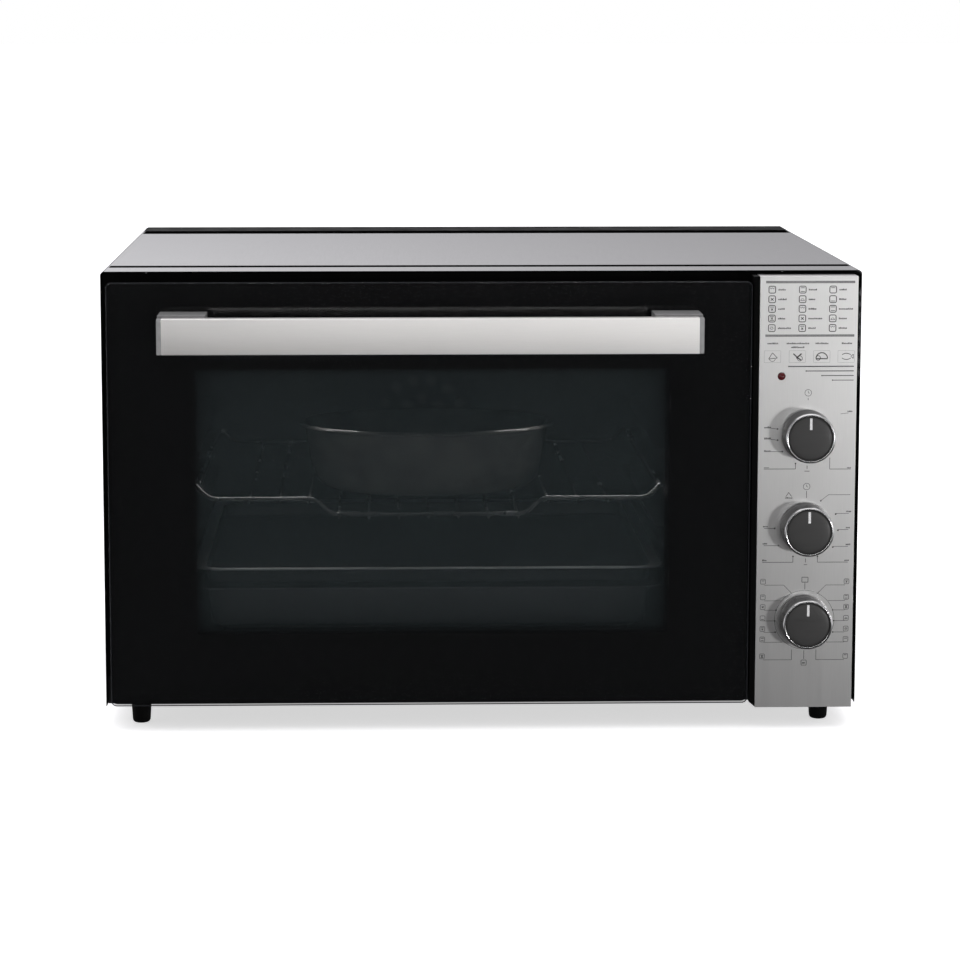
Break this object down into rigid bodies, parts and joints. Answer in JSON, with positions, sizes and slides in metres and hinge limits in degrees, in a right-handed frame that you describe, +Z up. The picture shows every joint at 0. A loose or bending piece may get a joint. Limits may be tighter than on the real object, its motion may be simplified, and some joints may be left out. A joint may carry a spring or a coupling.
{
  "type": "toaster oven",
  "caption": "Countertop toaster oven with a drop-down glass door, bar handle, control dials, heaters, convection fan, wire rack and trays.",
  "frame": {"origin": "on the ground under the middle of the whole object, handle included", "axes": "+X to the viewer's right across the front, front faces -Y, +Z up"},
  "size_m": [0.665, 0.554, 0.4055],
  "materials": {
    "black_paint": "gloss",
    "black_sheet": "satin",
    "enamel": "gloss",
    "glass_wool": "matte",
    "galvanised": "satin",
    "stainless": "brushed",
    "red_lens": "gloss",
    "switch_plastic": "matte",
    "ceramic": "matte",
    "copper": "satin",
    "heater_tube": "matte",
    "motor_steel": "satin",
    "bulb_glass": "frosted",
    "clear_glass": "clear",
    "black_plastic": "matte",
    "zinc": "satin",
    "seal": "woven",
    "black_glass": "gloss",
    "handle_metal": "satin",
    "grey_plastic": "satin",
    "knob_chrome": "polished",
    "knob_face": "satin",
    "brass": "satin",
    "rack_wire": "polished",
    "dish_glaze": "glazed",
    "tray_enamel": "gloss"
  },
  "bodies": {
    "housing": {"outer_cover": "black_paint", "back_panel": "black_sheet", "bottom_plate": "black_sheet", "front_frame": "black_sheet", "cavity_top": "enamel", "cavity_floor": "enamel", "cavity_left": "enamel", "cavity_right": "enamel", "cavity_back": "enamel", "shelf_rails": "enamel", "insulation_top": "glass_wool", "insulation_left": "glass_wool", "heat_shield": "galvanised", "control_panel": "stainless", "filler_strip": "black_paint", "pilot_lamp": "red_lens", "timer_body": "switch_plastic", "thermostat_body": "ceramic", "selector_body": "switch_plastic", "thermostat_bulb": "copper", "upper_element": "heater_tube", "lower_element": "heater_tube", "fan_guard": "enamel", "fan_motor": "motor_steel", "lamp_holder": "ceramic", "lamp_bulb": "bulb_glass", "lamp_glass": "clear_glass", "terminal_block": "ceramic", "cord_gland": "black_plastic", "feet": "black_plastic", "foot_screws": "zinc", "rear_screws": "zinc", "door_seal": "seal", "hinge_brackets": "zinc", "hinge_pins": "zinc", "hinge_springs": "zinc"},
    "door": {"door_glass": "black_glass", "door_frame": "black_sheet", "inner_glass": "clear_glass", "glass_clips": "zinc", "hinge_arms": "zinc", "handle_bar": "handle_metal", "handle_caps": "grey_plastic", "handle_brackets": "grey_plastic", "handle_screws": "zinc"},
    "timer_dial": {"timer_knob": "knob_chrome", "timer_face": "knob_face", "timer_shaft": "brass"},
    "thermostat_dial": {"thermostat_knob": "knob_chrome", "thermostat_face": "knob_face", "thermostat_shaft": "brass"},
    "selector_dial": {"selector_knob": "knob_chrome", "selector_face": "knob_face", "selector_shaft": "brass"},
    "fan": {"fan_wheel": "galvanised", "fan_shaft": "zinc"},
    "rack": {"wire_rack": "rack_wire", "roasting_dish": "dish_glaze"},
    "baking_shelf": {"baking_tray": "tray_enamel"},
    "drip_shelf": {"drip_tray": "tray_enamel"}
  },
  "joints": [
    {"name": "door_hinge", "type": "hinge", "parent": "housing", "child": "door", "pos_m": [-0.0461, -0.221, 0.033], "axis": [1, 0, 0], "range_deg": [0, 85]},
    {"name": "timer_turn", "type": "hinge", "parent": "housing", "child": "timer_dial", "pos_m": [0.2832, -0.233, 0.2629], "axis": [0, 1, 0], "range_deg": [0, 300]},
    {"name": "thermostat_turn", "type": "hinge", "parent": "housing", "child": "thermostat_dial", "pos_m": [0.2832, -0.233, 0.1807], "axis": [0, 1, 0], "range_deg": [0, 290]},
    {"name": "selector_turn", "type": "hinge", "parent": "housing", "child": "selector_dial", "pos_m": [0.2832, -0.233, 0.0985], "axis": [0, 1, 0], "continuous": true},
    {"name": "fan_spin", "type": "hinge", "parent": "housing", "child": "fan", "pos_m": [-0.0461, 0.207, 0.215], "axis": [0, 1, 0], "continuous": true},
    {"name": "rack_slide", "type": "slide", "parent": "housing", "child": "rack", "axis": [0, -1, 0], "range_m": [0, 0.18]},
    {"name": "baking_slide", "type": "slide", "parent": "housing", "child": "baking_shelf", "axis": [0, -1, 0], "range_m": [0, 0.12]},
    {"name": "drip_slide", "type": "slide", "parent": "housing", "child": "drip_shelf", "axis": [0, -1, 0], "range_m": [0, 0.07]}
  ],
  "couplings": [
    {"joint": "rack_slide", "follows": "door_hinge", "m_per_rad": 0.12},
    {"joint": "baking_slide", "follows": "door_hinge", "m_per_rad": 0.08},
    {"joint": "drip_slide", "follows": "door_hinge", "m_per_rad": 0.045}
  ]
}
